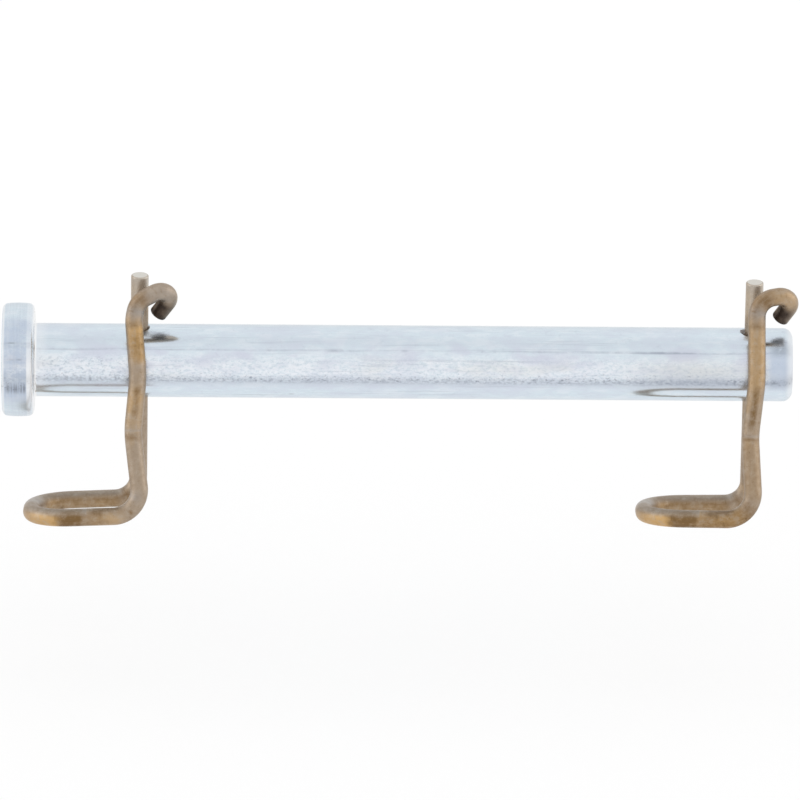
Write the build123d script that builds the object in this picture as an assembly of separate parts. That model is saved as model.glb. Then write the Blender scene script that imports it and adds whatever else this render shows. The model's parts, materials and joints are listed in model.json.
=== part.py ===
from build123d import *
from dataclasses import dataclass
from math import asin, atan2, cos, hypot, pi, radians, tan
import os

# A headed hitch pin with two cross-holes, each locked by a clip bent from one length of spring wire.
# The X axis is the pin's own axis. X = 0 is the seat under the head, and the point is towards +X.
# Each clip's straight leg stands along Z in its cross-hole, and its spring leg passes the shaft at -Y.
# All sizes are in millimetres and all angles in degrees.

# Headed pin, turned from 5/8 inch bar.
shaft_dia = 15.88
shaft_length = 163.85
shaft_neck_radius = 0.5
point_radius = 2.2
head_dia = 24.6
head_thickness = 6.9
head_edge_radius = 1.35
head_hole_from_seat = 22.45
tip_hole_from_point = 8.9
hole_edge_radius = 0.45

# Spring wire, nine gauge, with sheared ends.
wire_dia = 3.8
wire_end_chamfer = 0.3
cross_hole_play = 1.0

# Straight leg and finger loop. The loop stands out towards the head and is wide enough for a finger.
loop_length = 22.8
loop_width = 19.4
leg_to_loop_radius = 5.4
loop_end_radius = 8.5
loop_to_spring_leg_radius = 5.8

# Spring leg. It slants inwards from the loop, touches the front of the shaft at its belly and goes on
# to its hook, which curls over the top of the shaft. The kinks bend it a little along the pin.
belly_gap = 0.16
lower_kink_below_shaft = 3.1
upper_kink_above_shaft = 4.2
knee_radius = 14.0
lower_kink_radius = 24.0
belly_radius = 30.0
upper_kink_radius = 9.0
hook_radius = 4.3
hook_turn_play = 0.4
hook_turn_depth = 4.4
hook_end_depth = 2.6
hook_end_gap = 1.9

# Places that follow from the sizes above.
shaft_radius = shaft_dia / 2
wire_radius = wire_dia / 2
belly_depth = shaft_radius + wire_radius + belly_gap
wire_area = pi * wire_radius**2


@dataclass
class ClipForm:
    """How one clip stands and how far its own bends ended from the common shape. Leans and droops are
    in degrees, the rest in millimetres. A side value is a place along the pin, from the straight leg."""

    hole_from_seat: float
    leg_rest_side: float
    lean: float
    leg_above_shaft: float
    loop_below_shaft: float
    loop_droop: float
    loop_end_rise: float
    front_corner_rise: float
    front_corner_side: float
    knee_side: float
    knee_height: float
    lower_kink_side: float
    belly_side: float
    upper_kink_side: float
    hook_apex_side: float
    hook_apex_above_shaft: float
    hook_turn_side: float
    hook_turn_above_shaft: float
    hook_end_side: float


head_end_form = ClipForm(
    hole_from_seat=head_hole_from_seat,
    leg_rest_side=0.2,
    lean=0.45,
    leg_above_shaft=11.9,
    loop_below_shaft=24.15,
    loop_droop=3.05,
    loop_end_rise=3.85,
    front_corner_rise=3.8,
    front_corner_side=1.35,
    knee_side=-0.1,
    knee_height=13.8,
    lower_kink_side=-1.05,
    belly_side=-0.05,
    upper_kink_side=-1.15,
    hook_apex_side=-0.4,
    hook_apex_above_shaft=7.8,
    hook_turn_side=10.45,
    hook_turn_above_shaft=13.5,
    hook_end_side=3.9,
)
tip_end_form = ClipForm(
    hole_from_seat=shaft_length - tip_hole_from_point,
    leg_rest_side=0.3,
    lean=0.65,
    leg_above_shaft=11.2,
    loop_below_shaft=24.55,
    loop_droop=1.4,
    loop_end_rise=4.65,
    front_corner_rise=4.15,
    front_corner_side=0.6,
    knee_side=0.4,
    knee_height=10.15,
    lower_kink_side=-0.45,
    belly_side=0.75,
    upper_kink_side=0.5,
    hook_apex_side=0.4,
    hook_apex_above_shaft=9.05,
    hook_turn_side=9.6,
    hook_turn_above_shaft=10.55,
    hook_end_side=5.5,
)


def bar(diameter, start, end):
    """Round bar along the pin's axis, with its seam line at the back, away from the cross-holes."""
    return Pos((start + end) / 2, 0, 0) * Rot(0, 90, 0) * Rot(0, 0, 90) * Cylinder(diameter / 2, end - start)


def headed_pin():
    """Shaft, round head and rounded point in one turned piece, with a cross-hole for each clip."""
    shaft = bar(shaft_dia, 0, shaft_length)
    shaft = fillet(shaft.edges().filter_by(GeomType.CIRCLE).sort_by(Axis.X)[-1], point_radius)
    head = bar(head_dia, -head_thickness, 0)
    head = fillet(head.edges().filter_by(GeomType.CIRCLE), head_edge_radius)
    pin = head + shaft
    corner = [e for e in pin.edges().filter_by(GeomType.CIRCLE) if abs(e.radius - shaft_radius) < 0.001]
    pin = fillet(min(corner, key=lambda e: abs(e.arc_center.X)), shaft_neck_radius)
    for form in (head_end_form, tip_end_form):
        plain_edges = pin.edges()
        pin -= Pos(form.hole_from_seat, 0, 0) * Cylinder((wire_dia + cross_hole_play) / 2, 2 * shaft_dia)
        rims = [e for e in pin.edges() - plain_edges if e.bounding_box().size.Y > wire_dia]
        pin = fillet(rims, hole_edge_radius)
    return pin


def clip_points(form):
    """Corners of the clip's centre line, before they are rounded, about the middle of its straight leg."""
    loop_height = -shaft_radius - form.loop_below_shaft
    far_height = loop_height - loop_length * tan(radians(form.loop_droop))
    front_height = loop_height + form.front_corner_rise
    corner_reach = hypot(loop_width, front_height)
    slant = atan2(loop_width, -front_height) - asin(belly_depth / corner_reach)

    def on_spring_leg(side, height):
        """A place on the slanted plane that the spring leg is bent in."""
        return Vector(side, height * tan(slant) - belly_depth / cos(slant), height)

    hook_end_height = shaft_radius + wire_radius + hook_end_gap
    return {
        "leg_top": Vector(0, 0, shaft_radius + form.leg_above_shaft),
        "leg_foot": Vector(0, 0, loop_height),
        "far_back": Vector(-loop_length, 0, far_height),
        "far_front": Vector(-loop_length, -loop_width, far_height + form.loop_end_rise),
        "front_corner": on_spring_leg(form.front_corner_side, front_height),
        "knee": on_spring_leg(form.knee_side, loop_height + form.knee_height),
        "lower_kink": on_spring_leg(form.lower_kink_side, -shaft_radius - lower_kink_below_shaft),
        "belly": on_spring_leg(form.belly_side, 0),
        "upper_kink": on_spring_leg(form.upper_kink_side, shaft_radius + upper_kink_above_shaft),
        "hook_apex": on_spring_leg(form.hook_apex_side, shaft_radius + form.hook_apex_above_shaft),
        "hook_turn": Vector(form.hook_turn_side, -hook_turn_depth, shaft_radius + form.hook_turn_above_shaft),
        "hook_end": Vector(form.hook_end_side, -hook_end_depth, hook_end_height),
    }


def bent_wire(points, bend_radii):
    """Round wire along straight runs joined by tangent bends, with its volume set against its length."""
    line = FilletPolyline(*points, radius=bend_radii)
    wire = sweep(Plane(origin=line @ 0, z_dir=line % 0) * Circle(wire_radius), path=line)
    print("wire length", round(line.length, 1), "volume ratio", round(wire.volume / wire_area / line.length, 4))
    return wire


def sheared_end(wire, end):
    """Breaks the sharp edge that the shears left at one end of the wire."""
    rim = min(wire.edges().filter_by(GeomType.CIRCLE), key=lambda e: (e.arc_center - end).length)
    return chamfer(rim, wire_end_chamfer)


def clip_pieces(form):
    """The clip's wire as straight leg with finger loop, and spring leg. The two meet face to face in the
    loop's front wire, which twists about its own axis when the spring leg is pulled off the shaft."""
    at = clip_points(form)
    seam = (at["far_front"] + at["front_corner"]) / 2
    loop = bent_wire(
        [at["leg_top"], at["leg_foot"], at["far_back"], at["far_front"], seam],
        [leg_to_loop_radius, loop_end_radius, loop_end_radius],
    )
    spring_leg = bent_wire(
        [seam, at["front_corner"], at["knee"], at["lower_kink"], at["belly"], at["upper_kink"]]
        + [at["hook_apex"], at["hook_turn"], at["hook_end"]],
        [loop_to_spring_leg_radius, knee_radius, lower_kink_radius, belly_radius, upper_kink_radius]
        + [hook_radius, wire_radius + hook_turn_play],
    )
    stand = Pos(form.hole_from_seat + form.leg_rest_side, 0, 0) * Rot(0, form.lean, 0)
    return stand * sheared_end(loop, at["leg_top"]), stand * sheared_end(spring_leg, at["hook_end"])


head_end_loop, head_end_spring_leg = clip_pieces(head_end_form)
tip_end_loop, tip_end_spring_leg = clip_pieces(tip_end_form)

os.makedirs("parts", exist_ok=True)
export_step(headed_pin(), "parts/headed_pin.step")
export_step(head_end_loop, "parts/head_end_clip_loop.step")
export_step(head_end_spring_leg, "parts/head_end_clip_spring_leg.step")
export_step(tip_end_loop, "parts/tip_end_clip_loop.step")
export_step(tip_end_spring_leg, "parts/tip_end_clip_spring_leg.step")
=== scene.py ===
import json
from math import asin, atan2, cos, hypot, pi, radians, sin, sqrt, tan

import bpy
from mathutils import Matrix, Vector, noise


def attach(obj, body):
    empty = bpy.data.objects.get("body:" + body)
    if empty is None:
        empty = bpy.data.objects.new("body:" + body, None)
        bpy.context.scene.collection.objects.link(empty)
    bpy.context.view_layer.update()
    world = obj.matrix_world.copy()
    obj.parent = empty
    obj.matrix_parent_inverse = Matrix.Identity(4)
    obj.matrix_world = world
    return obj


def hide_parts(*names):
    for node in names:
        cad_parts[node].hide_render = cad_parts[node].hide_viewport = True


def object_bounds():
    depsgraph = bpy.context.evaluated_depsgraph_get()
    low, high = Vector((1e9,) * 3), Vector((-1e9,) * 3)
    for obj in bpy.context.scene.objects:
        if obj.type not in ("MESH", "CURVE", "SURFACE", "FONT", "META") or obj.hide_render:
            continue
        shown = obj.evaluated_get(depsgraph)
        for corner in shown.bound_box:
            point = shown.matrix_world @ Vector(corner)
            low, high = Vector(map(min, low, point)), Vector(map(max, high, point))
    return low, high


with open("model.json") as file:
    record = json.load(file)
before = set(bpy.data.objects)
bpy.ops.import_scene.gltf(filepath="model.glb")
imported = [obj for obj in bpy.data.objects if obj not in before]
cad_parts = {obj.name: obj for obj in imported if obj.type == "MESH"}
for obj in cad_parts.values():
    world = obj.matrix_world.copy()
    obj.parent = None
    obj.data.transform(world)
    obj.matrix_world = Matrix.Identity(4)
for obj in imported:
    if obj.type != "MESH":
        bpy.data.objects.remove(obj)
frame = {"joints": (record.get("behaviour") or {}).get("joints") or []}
cad_low, cad_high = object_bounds()

# Headed pin: one piece of 5/8 inch steel bar, its head upset and turned with the point, drilled through
# for the two clips and then bright zinc plated. Its shaft keeps the streaks and fine pits of the drawn
# bar under the plating, and its head keeps the rings of the turning tool.
mm = 0.001


def piece(name, points, faces, node, body, material):
    """A mesh in millimetres that stands for a node of the frame and rides on its body."""
    mesh = bpy.data.meshes.new(name)
    mesh.from_pydata([Vector(point) * mm for point in points], [], faces)
    mesh.materials.append(material)
    made = bpy.data.objects.new(name, mesh)
    bpy.context.scene.collection.objects.link(made)
    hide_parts(node)
    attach(made, body)
    return made


def bridge(rings):
    """Quads between closed rings of vertex numbers that lie side by side."""
    faces = []
    for near, far in zip(rings, rings[1:]):
        for i in range(len(near)):
            j = (i + 1) % len(near)
            faces.append((near[i], near[j], far[j], far[i]))
    return faces


def quarter_turn(steps):
    """Angles from 0 to 90 degrees for the arc of a rounded edge."""
    return [step / steps * pi / 2 for step in range(steps + 1)]


class Socket:
    """One output in a material. Arithmetic on it adds the Math nodes that work it out."""

    def __init__(self, tree, output=None):
        self.tree = tree
        self.output = output

    def node(self, kind, settings=None, inputs=None, output=0):
        """Adds a node, makes its settings, fills or links its inputs and wraps one of its outputs."""
        made = self.tree.nodes.new(kind)
        for name, setting in (settings or {}).items():
            setattr(made, name, setting)
        for name, given in (inputs or {}).items():
            if isinstance(given, Socket):
                self.tree.links.new(given.output, made.inputs[name])
            else:
                made.inputs[name].default_value = given
        return Socket(self.tree, made.outputs[output] if made.outputs else None)

    def math(self, operation, *values):
        return self.node("ShaderNodeMath", {"operation": operation}, dict(enumerate(values)))

    def __add__(self, other):
        return self.math("ADD", self, other)

    def __sub__(self, other):
        return self.math("SUBTRACT", self, other)

    def __rsub__(self, other):
        return self.math("SUBTRACT", other, self)

    def __mul__(self, other):
        return self.math("MULTIPLY", self, other)

    def __truediv__(self, other):
        return self.math("DIVIDE", self, other)

    def __rtruediv__(self, other):
        return self.math("DIVIDE", other, self)

    __radd__ = __add__
    __rmul__ = __mul__

    def split(self):
        """The three parts of a vector."""
        parts = self.node("ShaderNodeSeparateXYZ", inputs={0: self}).output.node.outputs
        return [Socket(self.tree, part) for part in parts]

    def rise(self, start, end):
        """0 up to start and 1 from end on, with a smooth climb between."""
        given = {0: self, 1: start, 2: end}
        return self.node("ShaderNodeMapRange", {"interpolation_type": "SMOOTHSTEP"}, given)

    def near(self, place, reach):
        """1 at a place, falling smoothly to 0 at a reach on either side of it."""
        return 1 - self.math("ABSOLUTE", self - place).rise(0.0, reach)

    def tint(self, first, second):
        """The first colour where this is 0 and the second where it is 1."""
        colours = [c if isinstance(c, Socket) else (*c, 1.0) for c in (first, second)]
        given = {0: self, 6: colours[0], 7: colours[1]}
        return self.node("ShaderNodeMix", {"data_type": "RGBA"}, given, output=2)

    def grain(self, across, down, along, detail=3.0, roughness=0.55):
        """Noise of about 0.25 to 0.75 over three lengths."""
        place = self.node("ShaderNodeCombineXYZ", inputs={0: across, 1: down, 2: along})
        given = {"Vector": place, "Scale": 1.0, "Detail": detail, "Roughness": roughness}
        return self.node("ShaderNodeTexNoise", inputs=given)

    def relief(self, depth, under=None):
        """A bump of a depth in metres, on top of an earlier bump if one is given."""
        given = {"Height": self, "Distance": depth, "Strength": 1.0}
        if under:
            given["Normal"] = under
        return self.node("ShaderNodeBump", inputs=given)


def metal(name):
    """A new material with a plain metal surface, and a first socket of its node tree."""
    material = bpy.data.materials.new(name)
    material.use_nodes = True
    surface = material.node_tree.nodes["Principled BSDF"]
    surface.inputs["Metallic"].default_value = 1.0
    return material, surface, Socket(material.node_tree)


def feed(surface, **sockets):
    """Links worked-out sockets to the surface's inputs, with _ for a space in their names."""
    for name, socket in sockets.items():
        surface.id_data.links.new(socket.output, surface.inputs[name.replace("_", " ")])


shaft_radius = 7.94
shaft_length = 163.85
neck_radius = 0.5
point_edge_radius = 2.2
head_radius = 12.3
head_thickness = 6.9
head_edge_radius = 1.35
head_crown = 0.1
tool_ring_depth = 0.008
tool_ring_spread = 0.83
hole_radius = 2.4
hole_edge_radius = 0.45
head_hole_from_seat = 22.45
tip_hole_from_point = 8.9

zinc_blue = (0.705, 0.8, 0.868)
zinc_white = (0.875, 0.905, 0.955)
zinc_lavender = (0.665, 0.695, 0.8)
zinc_cream = (0.76, 0.775, 0.755)
zinc_polish_and_highlight = (0.94, 0.955, 0.97)
zinc_sky = (0.54, 0.62, 0.745)
zinc_grey = (0.42, 0.46, 0.535)
zinc_dark = (0.19, 0.205, 0.245)

zinc, surface, start = metal("bright_zinc_plate")
surface.inputs["Specular Tint"].default_value = (0.9, 0.9, 0.9, 1.0)
x, y, z = [length / mm for length in start.node("ShaderNodeTexCoord", output="Object").split()]

# Angles round the pin are in degrees from its top, down its front to 180 and down its back to -180. Its
# bands lie alike down both sides, and its flat ends are all one angle, so that no marks ray out there.
turn = start.math("ARCTAN2", y * -1, z) * (180 / pi)
head_face = 1 - x.rise(-head_thickness + 0.008, -head_thickness + 0.014)
flat_ends = head_face + x.rise(shaft_length - 0.014, shaft_length - 0.008)
angle_of_ends = -160
turn = turn * (1 - flat_ends) + flat_ends * angle_of_ends
band = start.math("ABSOLUTE", turn)
radius = start.math("SQRT", y * y + z * z)
head = 1 - x.rise(-0.6, -0.1)
rim = head * radius.rise(11.4, 12.1)

clouds = start.grain(y * 0.13, z * 0.13, x * 0.045)
veils = start.grain(y * 0.2 + 9.0, z * 0.2, x * 0.09, detail=4.0)
streaks = start.grain(y * 1.4, z * 1.4, x * 0.05, detail=4.0)
granules = start.grain(y * 1.9, z * 1.9, x * 1.1, detail=4.0, roughness=0.7)
flakes = start.grain(y * 0.6 + 5.0, z * 0.6, x * 0.5, detail=5.0, roughness=0.7)
nicks = start.grain(y * 2.1 + 17.0, z * 2.1, x * 1.4, detail=4.0, roughness=0.75)
haze = start.grain(y * 0.5 + 3.0, z * 0.5, x * 0.2, detail=4.0, roughness=0.6)
rings = start.grain(x * 3.0, radius * 3.0, turn * 0.02, detail=3.0, roughness=0.7)


def stain(along, angle, reach, spread):
    """A soft patch at a place along the shaft and an angle round it."""
    return x.near(along, reach) * turn.near(angle, spread)


# Tones of the plating: blue, with a frosted white band along each side that is also a painted reflection of
# the white tent, lavender clouds and below the band more lavender as painted shade. Towards the tip-end clip
# the frosting is creamy.
frost_and_sheen_band = band.near(81.0, 32.0)
white = frost_and_sheen_band * (granules.rise(0.42, 0.58) * 0.7 + flakes.rise(0.42, 0.6) * 0.3 + 0.12)
white = white + haze.rise(0.5, 0.62) * 0.3
tone = start.math("MINIMUM", white, 1.0).tint(zinc_blue, zinc_white)
tone = (veils.rise(0.44, 0.64) * (0.3 + band.near(60.0, 30.0) * 0.6)).tint(tone, zinc_lavender)
near_tip_clip = x.near(143.0, 22.0)
tone = ((clouds.rise(0.5, 0.62) * 0.6 + near_tip_clip) * frost_and_sheen_band * 0.6).tint(tone, zinc_cream)
# More lavender low on each side is painted shade.
tone = ((1 - haze.rise(0.38, 0.52)) * 0.3 + band.near(110.0, 14.0) * 0.3).tint(tone, zinc_lavender)

# Grey marks of the bar under the plating: lines from the drawing die, pits and stains, and a darker zone near
# the tip-end clip.
# Painted reflections: a speckled dark band low on each side, a thin dark line above it and a grey band near
# the top. Painted shadow and reflection of each hook on the shaft under it.
wander = band + (nicks - 0.5) * 9.0
near_head = 1 - x.rise(18.0, 34.0)
# The speckled dark band low on each side is a painted reflection.
painted_reflection_band = wander.near(99.5, 9.0) * nicks.rise(0.4, 0.58)
painted_reflection_band = painted_reflection_band + wander.near(93.0, 15.0) * nicks.rise(0.56, 0.66) * 0.6
# The line at 51 degrees is a painted reflection; the streaks all round are from the die.
die_and_reflection_lines = band.near(51.0, 3.2) * (streaks + flakes * 0.6).rise(0.6, 1.0) * (0.5 + near_tip_clip * 0.6)
die_and_reflection_lines = die_and_reflection_lines + band.near(66.5, 1.4) * streaks.rise(0.48, 0.6) * 0.17
die_and_reflection_lines = die_and_reflection_lines + streaks.rise(0.56, 0.72) * 0.22
coarse_pits = near_head * band.near(88.0, 26.0) * flakes.rise(0.5, 0.58)
pits = 1 - granules.rise(0.34, 0.5)
grey_marks_and_painted_shade = painted_reflection_band * 0.5 + die_and_reflection_lines + pits * frost_and_sheen_band * (near_head * 0.35 + 0.25) + coarse_pits * 0.12
# Plain painted reflection bands, low on each side and near the top.
grey_marks_and_painted_shade = grey_marks_and_painted_shade + band.near(101.0, 15.0) * (0.33 + near_tip_clip * 0.1) + band.near(36.0, 20.0) * 0.17
grey_marks_and_painted_shade = grey_marks_and_painted_shade + near_tip_clip * (band.near(92.0, 28.0) * 0.35 + band.near(53.0, 10.0) * 0.2)
grey_marks_and_painted_shade = grey_marks_and_painted_shade + flakes.rise(0.55, 0.7) * 0.12
grey_marks_and_painted_shade = grey_marks_and_painted_shade + stain(64.6, 51.0, 2.6, 6.0) * 0.35 + stain(80.0, 51.0, 1.2, 4.0) * 0.3
# Painted shadow and reflection of each hook on the shaft under it.
hook_shadow_and_reflection = stain(26.6, 23.0, 4.2, 17.0) + stain(161.2, 30.0, 3.4, 21.0)
grey_marks_and_painted_shade = grey_marks_and_painted_shade + hook_shadow_and_reflection * nicks.rise(0.36, 0.6) * 0.55
tone = start.math("MINIMUM", grey_marks_and_painted_shade, 1.0).tint(tone, zinc_grey)

# Darker blue on the point and painted shade on the head's rim, and painted highlights on the rounded edges,
# the neck and the shaft beside the head.
near_point = x.rise(157.8, 159.6)
point_end = x.rise(161.4, 163.2)
blue_point = near_point * (1 - point_end * 0.2) * band.near(72.0, 60.0)
tone = (blue_point * (0.65 + flakes * 0.4)).tint(tone, zinc_sky)
shaded_rim = rim * band.rise(12.0, 34.0) * (1 - band.rise(103.0, 127.0))
tone = (shaded_rim * (0.3 + flakes.rise(0.35, 0.6) * 0.55)).tint(tone, zinc_sky)
# Painted highlights on the head's inner rounding, the neck, the outer rounding and the point's edge.
inner_rounding = radius.rise(10.6, 11.2) * x.rise(-1.65, -1.3)
tone = (inner_rounding * (0.25 + band.near(88.0, 50.0) * 0.75)).tint(tone, zinc_polish_and_highlight)
tone = (x.near(0.15, 0.7) * 0.95 + x.near(1.2, 2.4) * 0.3).tint(tone, zinc_polish_and_highlight)
outer_rounding = head * radius.rise(11.2, 11.7) * (1 - x.rise(-5.9, -5.5))
edge_shine = outer_rounding * (1 - x.rise(-6.55, -6.1)) * 0.75 + rim * x.near(-5.5, 0.6) * 0.12
edge_shine = edge_shine + x.rise(161.9, 163.4) * radius.rise(5.4, 6.4) * 0.6
tone = edge_shine.tint(tone, zinc_polish_and_highlight)
# Random bright wear near the head, and a painted reflection band round the rim.
wear_and_sheen = near_head * (1 - head) * frost_and_sheen_band * nicks.rise(0.56, 0.64) * 0.35
wear_and_sheen = wear_and_sheen + rim * band.near(75.0, 4.0) * 0.2
tone = wear_and_sheen.tint(tone, zinc_polish_and_highlight)

# Dark marks: scratches, painted shade in the gap beside the tip-end clip, a painted reflection of the tip-end
# hook on the point, and painted reflection bands across the head's rim, in the lowest of which show the rings
# of the turning tool.
scratches = stain(48.0, 135.0, 8.4, 1.6) + stain(55.6, 131.0, 1.0, 3.0) + stain(12.2, 98.0, 0.45, 6.0)
scratches = scratches + stain(151.3, 98.0, 0.5, 9.0) + stain(149.6, 101.0, 0.4, 6.0)
scratches = scratches + stain(159.8, 99.0, 1.5, 3.5)
# The mark at 153.1 is painted shade in the gap beside the tip-end clip's leg.
dark_marks_and_painted_shade = scratches * 0.4 + painted_reflection_band * nicks.rise(0.56, 0.66) * 0.45 + stain(153.1, 8.4, 1.1, 3.4) * 0.8
flat_rim = rim * x.rise(-6.2, -5.6) * (1 - x.rise(-1.8, -1.4))
hatching = flat_rim * rings.rise(0.42, 0.58)
# Painted reflection bands across the head's rim, at the angles of those on the shaft.
dark_marks_and_painted_shade = dark_marks_and_painted_shade + (hatching * 0.55 + flat_rim * 0.2) * band.near(99.5, 8.5)
dark_marks_and_painted_shade = dark_marks_and_painted_shade + rim * (band.near(89.5, 11.0) * 0.2 + band.near(54.5, 4.5) * 0.12)
dark_marks_and_painted_shade = dark_marks_and_painted_shade + rim * band.near(51.6, 1.4) * (x.near(-4.7, 1.4) * 0.4 + 0.1)
dark_marks_and_painted_shade = dark_marks_and_painted_shade + rim * band.near(68.5, 1.8) * (x.near(-3.0, 1.0) * 0.35 + x.near(-4.6, 1.6) * 0.2)
# Painted reflection of the tip-end hook on the point.
dark_marks_and_painted_shade = dark_marks_and_painted_shade + stain(160.9, 45.0, 3.4, 18.0) * flakes.rise(0.2, 0.5) * 0.5
dark_marks_and_painted_shade = dark_marks_and_painted_shade + near_point * band.near(98.0, 19.0) * 0.24
tone = start.math("MINIMUM", dark_marks_and_painted_shade, 1.0).tint(tone, zinc_dark)
tone = (hatching * 0.12).tint(tone, zinc_grey)

# Relief and gloss. The walls of the cross-holes are bare of polish.
bump = (granules * (0.25 + frost_and_sheen_band)).relief(9e-6)
bump = (nicks * painted_reflection_band).relief(14e-6, bump)
bump = (rings * head).relief(9e-6, bump)
dull = 0.1 + granules * 0.08 + frost_and_sheen_band * 0.16 + clouds * 0.05 + head * 0.12 + x.rise(161.4, 162.6) * 0.2
dull = dull + hook_shadow_and_reflection * 0.2 + outer_rounding * 0.05
dull = dull + near_head * band.near(116.0, 22.0) * 0.06
bore = start.node("ShaderNodeAttribute", {"attribute_name": "bore"}, output=2)
tone = bore.tint(tone, zinc_white)
feed(surface, Base_Color=tone, Roughness=dull + bore * 0.4, Metallic=1 - bore * 0.75, Normal=bump)

# The outline of the turned bar from the middle of the head's face to the middle of the point, as a place
# along the pin and a radius.
rim_rings = 36
shaft_rings = 150
profile = [(-head_thickness, reach) for reach in (0.0, 1.5, 4.0, 7.0, 10.0)]
for angle in quarter_turn(steps=8):
    at = -head_thickness + head_edge_radius * (1 - cos(angle))
    profile.append((at, head_radius - head_crown - head_edge_radius * (1 - sin(angle))))
for ring in range(1, rim_rings):
    at = -head_thickness + head_edge_radius + (head_thickness - 2 * head_edge_radius) * ring / rim_rings
    bulge = head_crown * (1 - (2 * ring / rim_rings - 1) ** 2)
    groove = tool_ring_depth * abs(noise.noise(Vector((0, 0, ring * tool_ring_spread))))
    profile.append((at, head_radius - head_crown + bulge - groove))
for angle in quarter_turn(steps=8):
    at = -head_edge_radius * (1 - sin(angle))
    profile.append((at, head_radius - head_crown - head_edge_radius * (1 - cos(angle))))
for angle in quarter_turn(steps=9):
    profile.append((neck_radius * (1 - cos(angle)), shaft_radius + neck_radius * (1 - sin(angle))))
for ring in range(1, shaft_rings):
    at = neck_radius + (shaft_length - point_edge_radius - neck_radius) * ring / shaft_rings
    profile.append((at, shaft_radius))
for angle in quarter_turn(steps=10):
    at = shaft_length - point_edge_radius * (1 - sin(angle))
    profile.append((at, shaft_radius - point_edge_radius * (1 - cos(angle))))
profile += [(shaft_length, reach) for reach in (5.0, 3.0, 1.2, 0.0)]

pin_sides = 192
points = [(profile[0][0], 0.0, 0.0)]
lathe = []
for at, reach in profile[1:-1]:
    lathe.append(range(len(points), len(points) + pin_sides))
    for i in range(pin_sides):
        angle = 2 * pi * i / pin_sides
        points.append((at, -reach * sin(angle), reach * cos(angle)))
points.append((profile[-1][0], 0.0, 0.0))
faces = bridge(lathe)
faces += [(0, lathe[0][(i + 1) % pin_sides], lathe[0][i]) for i in range(pin_sides)]
faces += [(len(points) - 1, lathe[-1][i], lathe[-1][(i + 1) % pin_sides]) for i in range(pin_sides)]
pin = piece("zinc_plated_pin", points, faces, "headed_pin", "pin", zinc)

# Each cross-hole is cut by a drill that flares out at both ends into the rounded edge of the hole.
hole_sides = 96
hole_places = (head_hole_from_seat, shaft_length - tip_hole_from_point)
flare_angle = radians(72)
flare_steps = 7
flare_overshoot = 0.3
drill_overshoot = 4.0
flare = []
for step in range(flare_steps + 1):
    angle = flare_angle * step / flare_steps
    flare.append((hole_radius + hole_edge_radius * (1 - cos(angle)), hole_edge_radius * (1 - sin(angle))))
widest, depth = flare[-1]
flare.append((widest + flare_overshoot, depth - flare_overshoot / tan(flare_angle)))
flare.append((widest + flare_overshoot, -drill_overshoot))
levels = [(reach, depth, -1) for reach, depth in flare[::-1]] + [(reach, depth, 1) for reach, depth in flare]
for hole_x in hole_places:
    rings_up = []
    drill_points = []
    for reach, depth, side in levels:
        rings_up.append(range(len(drill_points), len(drill_points) + hole_sides))
        for i in range(hole_sides):
            angle = 2 * pi * i / hole_sides
            beside = reach * sin(angle)
            height = side * (sqrt(shaft_radius**2 - beside**2) - depth)
            place = (hole_x + reach * cos(angle), beside, height)
            drill_points.append([part * mm for part in place])
    drill_mesh = bpy.data.meshes.new("drill")
    ends = [tuple(reversed(rings_up[0])), tuple(rings_up[-1])]
    drill_mesh.from_pydata(drill_points, [], bridge(rings_up) + ends)
    drill = bpy.data.objects.new("drill", drill_mesh)
    bpy.context.scene.collection.objects.link(drill)
    cut = pin.modifiers.new("cross_hole", "BOOLEAN")
    cut.object = drill
    cut.solver = "EXACT"
    with bpy.context.temp_override(object=pin, active_object=pin, selected_objects=[pin]):
        bpy.ops.object.modifier_apply(modifier=cut.name)
    bpy.data.objects.remove(drill)

# Faces on the wall of a hole are marked for the finish.
bored = []
for polygon in pin.data.polygons:
    spot = polygon.center / mm
    gap = min(hypot(spot.x - hole_x, spot.y) for hole_x in hole_places)
    bored.append(1.0 if gap < hole_radius + 0.1 and abs(polygon.normal.z) < 0.6 else 0.0)
pin.data.attributes.new("bore", "FLOAT", "FACE").data.foreach_set("value", bored)
pin.data.shade_smooth()
pin.data.set_sharp_from_angle(angle=radians(14))


# Spring clips: each is one length of nine-gauge spring wire, sheared off and bent cold round pegs. The
# straight leg goes through the pin, the finger loop stands out towards the head, and the spring leg
# slants up across the front of the shaft and hooks over it. A thin yellow coat has gone tan and brown.
joints = {joint["name"]: joint for joint in frame["joints"]}
wire_radius = 1.9
wire_end_rounding = 0.35
loop_length = 22.8
loop_width = 19.4
leg_to_loop_radius = 5.4
loop_end_radius = 8.5
loop_to_spring_leg_radius = 5.8
knee_radius = 14.0
lower_kink_height = -11.04
lower_kink_radius = 24.0
belly_depth = shaft_radius + wire_radius + 0.16
belly_radius = 30.0
upper_kink_height = 12.14
upper_kink_radius = 9.0
hook_radius = 4.3
hook_turn_depth = 4.4
hook_turn_radius = 2.3
hook_end_depth = 2.6
hook_end_height = 11.74

# Sides of the wire that a mark can be on. The longer the direction, the less far it reaches round the wire.
all_round = None
front = (0, -1, 0)
front_low = (0, -0.93, -0.37)
front_middle = (0, -8, 0)
top = (0, 0, 2)
inner_top = (0, 0.5, 0.85)
outer_side = (0.6, -0.8, 0)
inner_side = (-1.1, -0.6, 0.2)
hook_inside = (-0.6, -0.7, -0.4)

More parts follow.
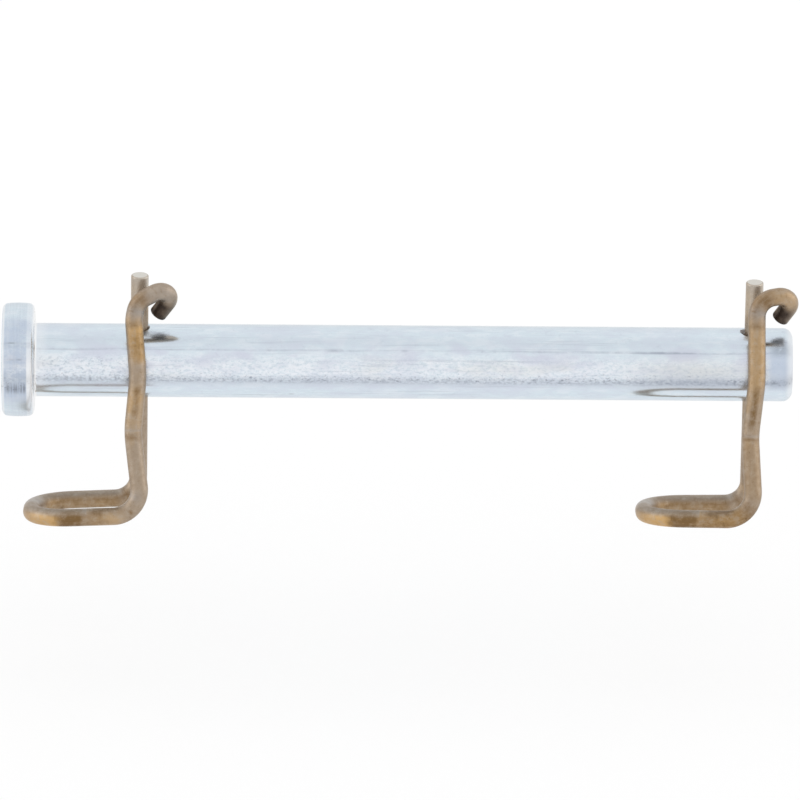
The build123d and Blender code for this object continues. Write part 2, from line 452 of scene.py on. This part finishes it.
# Marks are a colour, where it starts and stops along its half of the wire, the side that it is on and how
# strong it is. Its ends are soft.
mark_fade = 2.2
mark_spread = 1.2
marks_of_both_clips = {
    # Grey and bare steel along the tops of the loop are a painted highlight of the light from above.
    "loop": [
        ("bare_and_sheen", -3.0, 8.0, all_round, 0.2),
        ("bare_and_sheen", -3.0, 8.0, outer_side, 0.25),
        ("bare_and_sheen", 34.0, 76.0, top, 0.15),
        ("bare_and_sheen", 74.0, 100.0, top, 0.22),
        ("grey", 34.0, 100.0, top, 0.7),
        ("grey", 73.0, 79.0, inner_top, 0.5),
        ("gold", 53.0, 73.0, front_low, 0.35),
        ("brown", 78.0, 97.4, inner_top, 0.75),
    ],
    "spring_leg": [
        ("bare_and_sheen", -3.0, 8.0, top, 0.1),
        ("brown", 0.0, 9.0, inner_top, 0.75),
    ],
}

# Bends are a side and a height from the middle of the straight leg on the pin's axis.
clips = {
    "head_end": {
        "leg_top": 19.84,
        "loop_height": -32.09,
        "loop_droop": 3.05,
        "loop_end_rise": 3.85,
        "front_corner": (1.35, -28.29),
        "knee": (-0.1, -18.29),
        "lower_kink": (-1.05, lower_kink_height),
        "belly": (-0.05, 0.0),
        "upper_kink": (-1.15, upper_kink_height),
        "hook_apex": (-0.4, 15.74),
        "hook_turn": (10.45, 21.44),
        "hook_end": (3.9, hook_end_height),
        "loop_marks": [
            ("gold", 0.5, 9.0, front, 0.3),
            ("brown", 49.8, 53.6, all_round, 0.75),
            ("brown", 52.0, 74.0, all_round, 0.5),
            ("brown", 66.2, 67.6, (0, -4, -4), 0.9),
            # Gold low on the front of the loop's far end is a painted highlight.
            ("gold", 77.0, 93.0, front_low, 0.9),
            ("brown", 90.6, 96.8, front_low, 0.9),
            ("brown", 90.0, 96.0, front, 0.3),
            ("gold", 90.0, 100.0, front_low, 0.2),
            ("brown", 93.0, 100.0, front, 0.45),
        ],
        "spring_leg_marks": [
            ("gold", -3.0, 9.0, front_low, 0.2),
            ("brown", -3.0, 5.0, front, 0.45),
            ("brown", 9.0, 10.2, (0, -14, 0), 1.0),
            ("grey", 11.0, 15.0, (-0.7, -0.5, 0.5), 0.5),
            ("brown", 25.0, 27.3, front, 0.5),
            ("grey", 27.3, 28.0, front, 0.6),
            ("gold", 27.0, 37.0, front, 0.25),
            # Brown down the middle of the leg's front, where it crosses the shaft, is a painted reflection.
            ("brown", 29.5, 37.3, front_middle, 0.6),
            ("brown", 35.2, 37.4, front_middle, 0.8),
            ("gold", 41.5, 51.5, outer_side, 0.75),
            ("gold", 45.0, 51.5, front, 0.2),
            ("brown", 42.0, 50.0, outer_side, 0.45),
            ("brown", 49.3, 51.7, front, 0.5),
            ("grey", 51.6, 55.5, all_round, 0.9),
            ("brown", 52.0, 58.5, inner_side, 0.5),
            ("brown", 54.0, 59.0, front_low, 0.3),
            ("grey", 56.0, 65.0, front, 0.45),
            # Black under the hook's arc and at its tip is painted shade.
            ("black", 63.4, 72.0, hook_inside, 1.0),
            ("black", 67.6, 72.0, all_round, 1.0),
        ],
    },
    "tip_end": {
        "leg_top": 19.14,
        "loop_height": -32.49,
        "loop_droop": 1.4,
        "loop_end_rise": 4.65,
        "front_corner": (0.6, -28.34),
        "knee": (0.4, -22.34),
        "lower_kink": (-0.45, lower_kink_height),
        "belly": (0.75, 0.0),
        "upper_kink": (0.5, upper_kink_height),
        "hook_apex": (0.4, 16.99),
        "hook_turn": (9.6, 18.49),
        "hook_end": (5.5, hook_end_height),
        "loop_marks": [
            ("gold", 0.5, 9.0, front, 0.4),
            ("brown", 49.8, 52.8, all_round, 0.6),
            ("brown", 52.0, 74.0, all_round, 0.55),
            # Gold low on the front of the loop's far end is a painted highlight.
            ("gold", 76.0, 92.0, front_low, 1.0),
            ("brown", 89.6, 96.4, front_low, 0.8),
            ("brown", 89.6, 96.0, front, 0.4),
            ("gold", 88.0, 100.0, front, 0.6),
            ("brown", 93.0, 100.0, front_low, 0.55),
        ],
        "spring_leg_marks": [
            ("gold", -3.0, 11.0, front, 0.6),
            ("brown", -3.0, 13.0, front_low, 0.55),
            ("brown", 0.0, 62.0, all_round, 0.15),
            ("grey", 13.0, 26.0, front, 0.2),
            ("grey", 26.6, 27.9, front, 0.5),
            ("brown", 26.0, 27.0, front, 0.5),
            ("gold", 13.0, 27.0, front, 0.3),
            ("brown", 13.0, 27.0, front, 0.15),
            # Brown down the middle of the leg's front, where it crosses the shaft, is a painted reflection.
            ("brown", 28.2, 38.6, front_middle, 0.85),
            ("gold", 36.5, 52.0, front, 0.4),
            ("gold", 38.0, 50.0, outer_side, 0.1),
            ("brown", 50.0, 52.0, front, 0.45),
            ("grey", 52.0, 56.0, all_round, 0.9),
            ("brown", 52.4, 58.5, inner_side, 0.4),
            ("brown", 54.5, 60.0, front_low, 0.5),
            ("gold", 57.0, 65.0, front, 0.3),
            # Black under the hook's arc and at its tip is painted shade.
            ("black", 63.2, 72.0, hook_inside, 1.0),
            ("black", 67.2, 72.0, all_round, 1.0),
        ],
    },
}

tan_wire = (0.4, 0.315, 0.235)
gold_wire = (0.62, 0.395, 0.165)
brown_wire = (0.225, 0.132, 0.05)
grey_wire = (0.4, 0.36, 0.325)
worn_wire = (0.5, 0.43, 0.35)
painted_shade_black = (0.045, 0.03, 0.022)
bare_steel_and_sheen = (0.7, 0.68, 0.63)

# The finish follows the wire: its two places across and its length along come with the mesh, and so do
# the marks.
wire_coat, surface, start = metal("spring_wire_coat")
side_x, side_y, along = start.node("ShaderNodeAttribute", {"attribute_name": "drawn"}, output=1).split()
gilt_and_sheen, browned, greyed_and_sheen = start.node("ShaderNodeAttribute", {"attribute_name": "stains"}, output=1).split()
painted_hook_shade = start.node("ShaderNodeAttribute", {"attribute_name": "painted_hook_shade"}, output=2)
bare_and_sheen_mask = start.node("ShaderNodeAttribute", {"attribute_name": "bare_and_sheen_mask"}, output=2)
patches = start.grain(side_x * 0.2, side_y * 0.2, along * 0.12, detail=2.0)
die_lines = start.grain(side_x * 1.5, side_y * 1.5, along * 0.16, detail=4.0, roughness=0.6)
fine_lines = start.grain(side_x * 4.0, side_y * 4.0, along * 0.3, detail=2.0)
mottle = start.grain(side_x * 0.8, side_y * 0.8, along * 0.7, detail=4.0, roughness=0.65)
wrinkles = start.grain(side_x * 0.6, side_y * 0.6, along * 2.4, detail=3.0, roughness=0.6)
specks = start.grain(side_x * 1.6, side_y * 1.6, along * 1.5, detail=3.0)

# Gold is the coat's own colour, and a painted highlight low on the loops' far ends.
gilt_and_sheen = gilt_and_sheen * (0.45 + mottle) + patches.rise(0.5, 0.68) * 0.25
tone = start.math("MINIMUM", gilt_and_sheen, 1.0).tint(tan_wire, gold_wire)
# Grey is the coat's own in places, and a painted highlight along the loops' tops.
greyed_and_sheen = greyed_and_sheen * (0.6 + mottle) + die_lines.rise(0.55, 0.7) * 0.15
tone = start.math("MINIMUM", greyed_and_sheen, 1.0).tint(tone, grey_wire)
browned = browned * (0.75 + die_lines.rise(0.35, 0.65) * 0.2 + mottle.rise(0.4, 0.7) * 0.15)
browned = browned + mottle.rise(0.42, 0.72) * 0.16 + wrinkles.rise(0.55, 0.7) * 0.22
browned = browned + specks.rise(0.64, 0.7) * 0.3
tone = start.math("MINIMUM", browned, 1.0).tint(tone, brown_wire)
worn = (1 - mottle.rise(0.34, 0.48)) * 0.25 + (1 - fine_lines.rise(0.34, 0.46)) * 0.08
tone = worn.tint(tone, worn_wire)
# Painted shade under each hook.
tone = (painted_hook_shade * (0.78 + mottle * 0.4)).tint(tone, painted_shade_black)
# Bare steel on the sheared face, and as a painted highlight along the loops' tops.
tone = bare_and_sheen_mask.tint(tone, bare_steel_and_sheen)
bump = (fine_lines + die_lines).relief(8e-6)
bump = (mottle + wrinkles * 0.5).relief(28e-6, bump)
dull = 0.42 + mottle * 0.16 + greyed_and_sheen * 0.05 + browned * 0.08
feed(surface, Base_Color=tone, Roughness=dull, Normal=bump)
surface.inputs["Coat Weight"].default_value = 0.3
surface.inputs["Coat Roughness"].default_value = 0.35


def clip_corners(bends):
    """Corners of both halves of a clip's centre line with their bend radii, about its straight leg."""
    far_height = bends["loop_height"] - loop_length * tan(radians(bends["loop_droop"]))
    corner_height = bends["front_corner"][1]
    slant = atan2(loop_width, -corner_height) - asin(belly_depth / hypot(loop_width, corner_height))

    def on_leg(name, radius):
        side, height = bends[name]
        return Vector((side, height * tan(slant) - belly_depth / cos(slant), height)), radius

    def on_hook(name, depth, radius):
        side, height = bends[name]
        return Vector((side, -depth, height)), radius

    far_front = Vector((-loop_length, -loop_width, far_height + bends["loop_end_rise"]))
    seam = (far_front + on_leg("front_corner", 0)[0]) / 2
    loop = [
        (Vector((0, 0, bends["leg_top"])), 0),
        (Vector((0, 0, bends["loop_height"])), leg_to_loop_radius),
        (Vector((-loop_length, 0, far_height)), loop_end_radius),
        (far_front, loop_end_radius),
        (seam, 0),
    ]
    spring_leg = [
        (seam, 0),
        on_leg("front_corner", loop_to_spring_leg_radius),
        on_leg("knee", knee_radius),
        on_leg("lower_kink", lower_kink_radius),
        on_leg("belly", belly_radius),
        on_leg("upper_kink", upper_kink_radius),
        on_leg("hook_apex", hook_radius),
        on_hook("hook_turn", hook_turn_depth, hook_turn_radius),
        on_hook("hook_end", hook_end_depth, 0),
    ]
    return seam, loop, spring_leg


def wire_runs(corners):
    """The straight runs of a wire and the tangent arcs between them: for each its length, where and which
    way it starts, and for an arc also the way to its middle and its radius."""
    runs = []
    here = corners[0][0]
    for (before, _), (corner, radius), (after, _) in zip(corners, corners[1:], corners[2:]):
        inward = (corner - before).normalized()
        onward = (after - corner).normalized()
        bend = inward.angle(onward)
        arc_start = corner - inward * radius * tan(bend / 2)
        towards = (onward - inward * inward.dot(onward)).normalized()
        runs.append(((arc_start - here).length, here, inward, None, 0))
        runs.append((radius * bend, arc_start, inward, towards, radius))
        here = corner + onward * radius * tan(bend / 2)
    last = corners[-1][0] - here
    runs.append((last.length, here, last.normalized(), None, 0))
    return runs


def place_on(runs, along):
    """The centre of a wire and its direction at a distance along it."""
    for run in runs:
        if along <= run[0] or run is runs[-1]:
            break
        along -= run[0]
    _, place, heading, towards, radius = run
    if towards is None:
        return place + heading * along, heading
    angle = along / radius
    place = place + heading * radius * sin(angle) + towards * radius * (1 - cos(angle))
    return place, heading * cos(angle) + towards * sin(angle)


def mark_strength(mark, along, out):
    """How strongly one mark colours the spot at a length along the wire that faces outward."""
    _, begin, end, side, strength = mark
    edge = min(mark_fade, (end - begin) / 2)
    fade = min(1.0, max(0.0, (along - begin) / edge), max(0.0, (end - along) / edge))
    if side:
        narrowness = Vector(side).length
        facing = out.dot(Vector(side)) / narrowness
        fade *= min(1.0, max(0.0, mark_spread - narrowness * (1 - facing)))
    return strength * fade


wire_sides = 40
ring_spacing = 0.3
for end, clip in clips.items():
    seam, *halves = clip_corners(clip)
    draw = Vector(joints[f"{end}_clip_draw"]["axis"])
    lean = Matrix.Rotation(atan2(-draw.x, -draw.z), 3, "Y")
    hinge = Vector(joints[f"{end}_spring_leg_open"]["pos_m"]) / mm
    across = Vector((1, 0, 0))
    wire_before = 0.0
    for half, corners in zip(("loop", "spring_leg"), halves):
        runs = wire_runs(corners)
        length = sum(run[0] for run in runs)

        # Stations are a distance along the wire and a radius. The two halves meet at their cut ends.
        sheared_end = [(0.0, 0.5), (0.0, 1.1)]
        for angle in quarter_turn(steps=4)[::-1]:
            at = wire_end_rounding * (1 - sin(angle))
            sheared_end.append((at, wire_radius - wire_end_rounding * (1 - cos(angle))))
        cut_end = [(0.0, 0.6), (0.0, 1.3), (0.0, wire_radius)]
        first, last = (sheared_end, cut_end) if half == "loop" else (cut_end, sheared_end)
        count = round(length / ring_spacing)
        between = [length * i / count for i in range(1, count)]
        between = [at for at in between if first[-1][0] < at < length - last[-1][0]]
        stations = first + [(at, wire_radius) for at in between]
        stations += [(length - at, reach) for at, reach in last[::-1]]

        points = []
        rings = []
        drawn = []
        stains = {"gold": [], "brown": [], "grey": [], "black": [], "bare_and_sheen": []}
        marks = marks_of_both_clips[half] + clip[f"{half}_marks"]
        for along, reach in stations:
            place, heading = place_on(runs, along)
            across = (across - heading * across.dot(heading)).normalized()
            beside = heading.cross(across)
            rings.append(range(len(points), len(points) + wire_sides))
            for side in range(wire_sides):
                angle = 2 * pi * side / wire_sides
                out = across * cos(angle) + beside * sin(angle)
                points.append(lean @ (place + out * reach - seam) + hinge)
                drawn += (cos(angle) * reach, sin(angle) * reach, wire_before + along)
                for colour, strengths in stains.items():
                    total = sum(mark_strength(mark, along, out) for mark in marks if mark[0] == colour)
                    strengths.append(min(1.0, total))
                # The sheared face on top of the straight leg has no coat.
                if half == "loop" and along == 0:
                    stains["bare_and_sheen"][-1] = 1.0
        wire_before += length
        caps = [tuple(reversed(rings[0])), tuple(rings[-1])]
        body = f"{end}_clip" if half == "loop" else f"{end}_spring_leg"
        name = f"{end}_{half}_wire"
        wire = piece(name, points, bridge(rings) + caps, f"{end}_clip_{half}", body, wire_coat)
        layers = wire.data.attributes
        layers.new("drawn", "FLOAT_VECTOR", "POINT").data.foreach_set("vector", drawn)
        mixed = [part for spot in zip(stains["gold"], stains["brown"], stains["grey"]) for part in spot]
        layers.new("stains", "FLOAT_VECTOR", "POINT").data.foreach_set("vector", mixed)
        layers.new("painted_hook_shade", "FLOAT", "POINT").data.foreach_set("value", stains["black"])
        layers.new("bare_and_sheen_mask", "FLOAT", "POINT").data.foreach_set("value", stains["bare_and_sheen"])
        wire.data.shade_smooth()
        wire.data.set_sharp_from_angle(angle=radians(50))


# Studio: a white paper floor under a white tent, with two large soft lamps at the pin's ends. The floor
# lies low enough for both clips to be drawn down out of the pin above it.
floor_size = 6.0
clip_travel = 32 * mm
paper_grey = (0.5, 0.5, 0.5, 1.0)
white_light = (1.0, 1.0, 1.0, 1.0)
paper_glow = 0.475
tent_glow = 0.95
lamp_size = 2.0
lamp_glow = 1.08
lamp_distance = 2.5
lamp_height = 0.9
lamp_tilt = radians(70)

paper = bpy.data.materials.new("white_paper")
paper.use_nodes = True
paper.node_tree.nodes.clear()
start = Socket(paper.node_tree)
camera_ray = start.node("ShaderNodeLightPath", output="Is Camera Ray")
glossy_ray = start.node("ShaderNodeLightPath", output="Is Glossy Ray")
clear_ray = start.node("ShaderNodeLightPath", output="Is Transmission Ray")
seen = start.math("MAXIMUM", start.math("MAXIMUM", camera_ray, glossy_ray), clear_ray)
matt = start.node("ShaderNodeBsdfDiffuse", inputs={"Color": paper_grey})
glow = start.node("ShaderNodeEmission", inputs={"Color": white_light, "Strength": seen * paper_glow})
both = start.node("ShaderNodeAddShader", inputs={0: matt, 1: glow})
start.node("ShaderNodeOutputMaterial", inputs={0: both})
floor_mesh = bpy.data.meshes.new("paper_floor")
floor_height = cad_low.z - clip_travel
floor_corners = []
for x_side, y_side in ((-1, -1), (1, -1), (1, 1), (-1, 1)):
    floor_corners.append((x_side * floor_size, y_side * floor_size, floor_height))
floor_mesh.from_pydata(floor_corners, [], [(0, 1, 2, 3)])
floor_mesh.materials.append(paper)
floor = bpy.data.objects.new("paper_floor", floor_mesh)
bpy.context.scene.collection.objects.link(floor)

tent = bpy.data.worlds.new("white_tent")
bpy.context.scene.world = tent
tent.use_nodes = True
tent.node_tree.nodes.clear()
start = Socket(tent.node_tree)
sky = start.node("ShaderNodeBackground", inputs={"Color": white_light, "Strength": tent_glow})
start.node("ShaderNodeOutputWorld", inputs={0: sky})

# The bright plate shows the tent alone, because a lamp in front of it would burn out in its mirror.
plate_alone = bpy.data.collections.new("lit_by_the_tent_alone")
plate_alone.objects.link(pin)
plate_alone.collection_objects[0].light_linking.link_state = "EXCLUDE"
for side in (-1, 1):
    lamp_data = bpy.data.lights.new("soft_lamp", "AREA")
    lamp_data.shape = "SQUARE"
    lamp_data.size = lamp_size
    lamp_data.energy = lamp_glow * pi * lamp_size**2
    lamp = bpy.data.objects.new("soft_lamp", lamp_data)
    lamp.location = (side * lamp_distance, 0, lamp_height)
    lamp.rotation_euler = (0, side * lamp_tilt, 0)
    lamp.light_linking.receiver_collection = plate_alone
    bpy.context.scene.collection.objects.link(lamp)

# Camera: a long lens, nearly three metres off, that looks down on the front of the pin. The pin fills the
# width of the view.
view_down = radians(22.0)
view_roll = radians(0.4)
view_distance = 2.8
view_width = 173.04 * mm
view_middle_along = 79.1 * mm
view_middle_below = 8.22 * mm
view_far_end = 50
towards_camera = Vector((0, -cos(view_down), sin(view_down)))
picture_up = Vector((0, sin(view_down), cos(view_down)))
aim = Vector((view_middle_along, 0, 0)) - picture_up * view_middle_below
camera_data = bpy.data.cameras.new("camera")
camera_data.angle = 2 * atan2(view_width / 2, view_distance)
camera_data.clip_end = view_far_end
camera = bpy.data.objects.new("camera", camera_data)
tilt = Matrix.Rotation(pi / 2 - view_down, 4, "X") @ Matrix.Rotation(view_roll, 4, "Z")
camera.matrix_world = Matrix.Translation(aim + towards_camera * view_distance) @ tilt
bpy.context.scene.collection.objects.link(camera)
bpy.context.scene.camera = camera
bpy.context.scene.view_settings.view_transform = "Standard"
